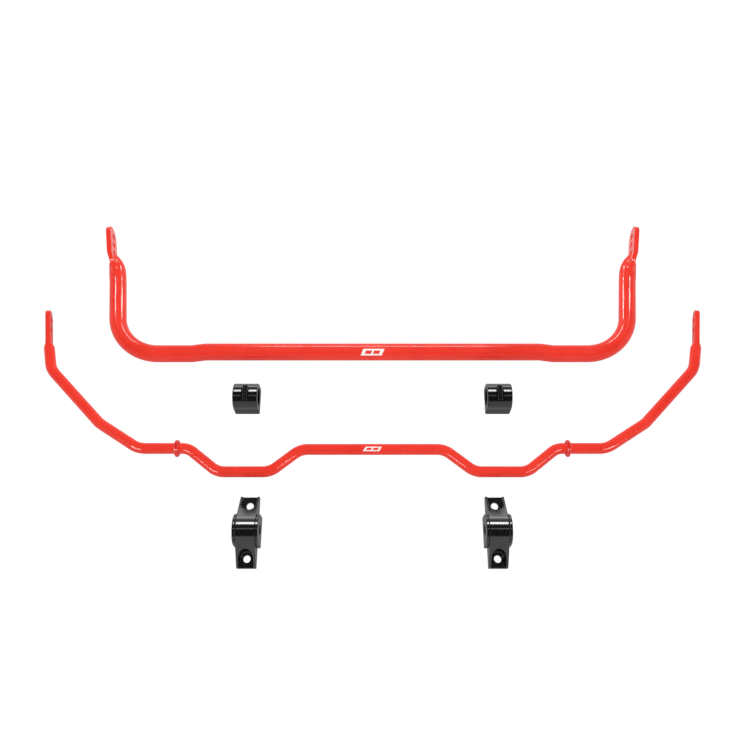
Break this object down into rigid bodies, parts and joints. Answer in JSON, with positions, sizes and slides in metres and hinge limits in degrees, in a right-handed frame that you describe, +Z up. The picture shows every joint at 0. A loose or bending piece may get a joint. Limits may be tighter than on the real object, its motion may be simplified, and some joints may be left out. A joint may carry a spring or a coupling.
{
  "type": "sway bar kit",
  "caption": "Front and rear anti-roll bars laid flat with their split bushings and saddle brackets; flat bolt plates end both bars.",
  "frame": {"origin": "on the ground, under the middle of the whole laid-out kit", "axes": "+X along both bars to the vehicle right, +Y from the rear bar to the front bar, the way both bars' arms point, +Z up"},
  "size_m": [1.2472, 0.667, 0.051],
  "materials": {
    "red_coat": "glossy red powder coat",
    "black_moulding": "glossy black polyurethane",
    "black_bracket": "semi-gloss black",
    "white_ink": "printed white mark"
  },
  "bodies": {
    "bushings": {"front_bushing_left": "black_moulding", "front_bushing_right": "black_moulding", "rear_bushing_left": "black_moulding", "rear_bushing_right": "black_moulding"},
    "front_bar_left_half": {"front_bar_left": "red_coat", "front_bar_label": "white_ink"},
    "front_bar_right_half": {"front_bar_right": "red_coat"},
    "rear_bar_left_half": {"rear_bar_left": "red_coat", "rear_collar_left": "red_coat", "rear_bar_label": "white_ink"},
    "rear_bar_right_half": {"rear_bar_right": "red_coat", "rear_collar_right": "red_coat"},
    "rear_bracket_left": {"rear_bracket_left": "black_bracket"},
    "rear_bracket_right": {"rear_bracket_right": "black_bracket"}
  },
  "joints": [
    {"name": "front_bar_roll", "type": "hinge", "parent": "bushings", "child": "front_bar_left_half", "pos_m": [0, 0.064, 0.016], "axis": [1, 0, 0], "range_deg": [0, 30]},
    {"name": "front_bar_twist", "type": "hinge", "parent": "front_bar_left_half", "child": "front_bar_right_half", "pos_m": [0, 0.064, 0.016], "axis": [1, 0, 0], "range_deg": [0, 12], "stiffness_Nm_per_rad": 6700},
    {"name": "rear_bar_roll", "type": "hinge", "parent": "bushings", "child": "rear_bar_left_half", "pos_m": [0, -0.1245, 0.0154], "axis": [1, 0, 0], "range_deg": [0, 30]},
    {"name": "rear_bar_twist", "type": "hinge", "parent": "rear_bar_left_half", "child": "rear_bar_right_half", "pos_m": [0, -0.1263, 0.0154], "axis": [1, 0, 0], "range_deg": [0, 15], "stiffness_Nm_per_rad": 950},
    {"name": "rear_bracket_left_lift", "type": "slide", "parent": "bushings", "child": "rear_bracket_left", "axis": [0, 0, 1], "range_m": [0, 0.08]},
    {"name": "rear_bracket_right_lift", "type": "slide", "parent": "bushings", "child": "rear_bracket_right", "axis": [0, 0, 1], "range_m": [0, 0.08]}
  ]
}
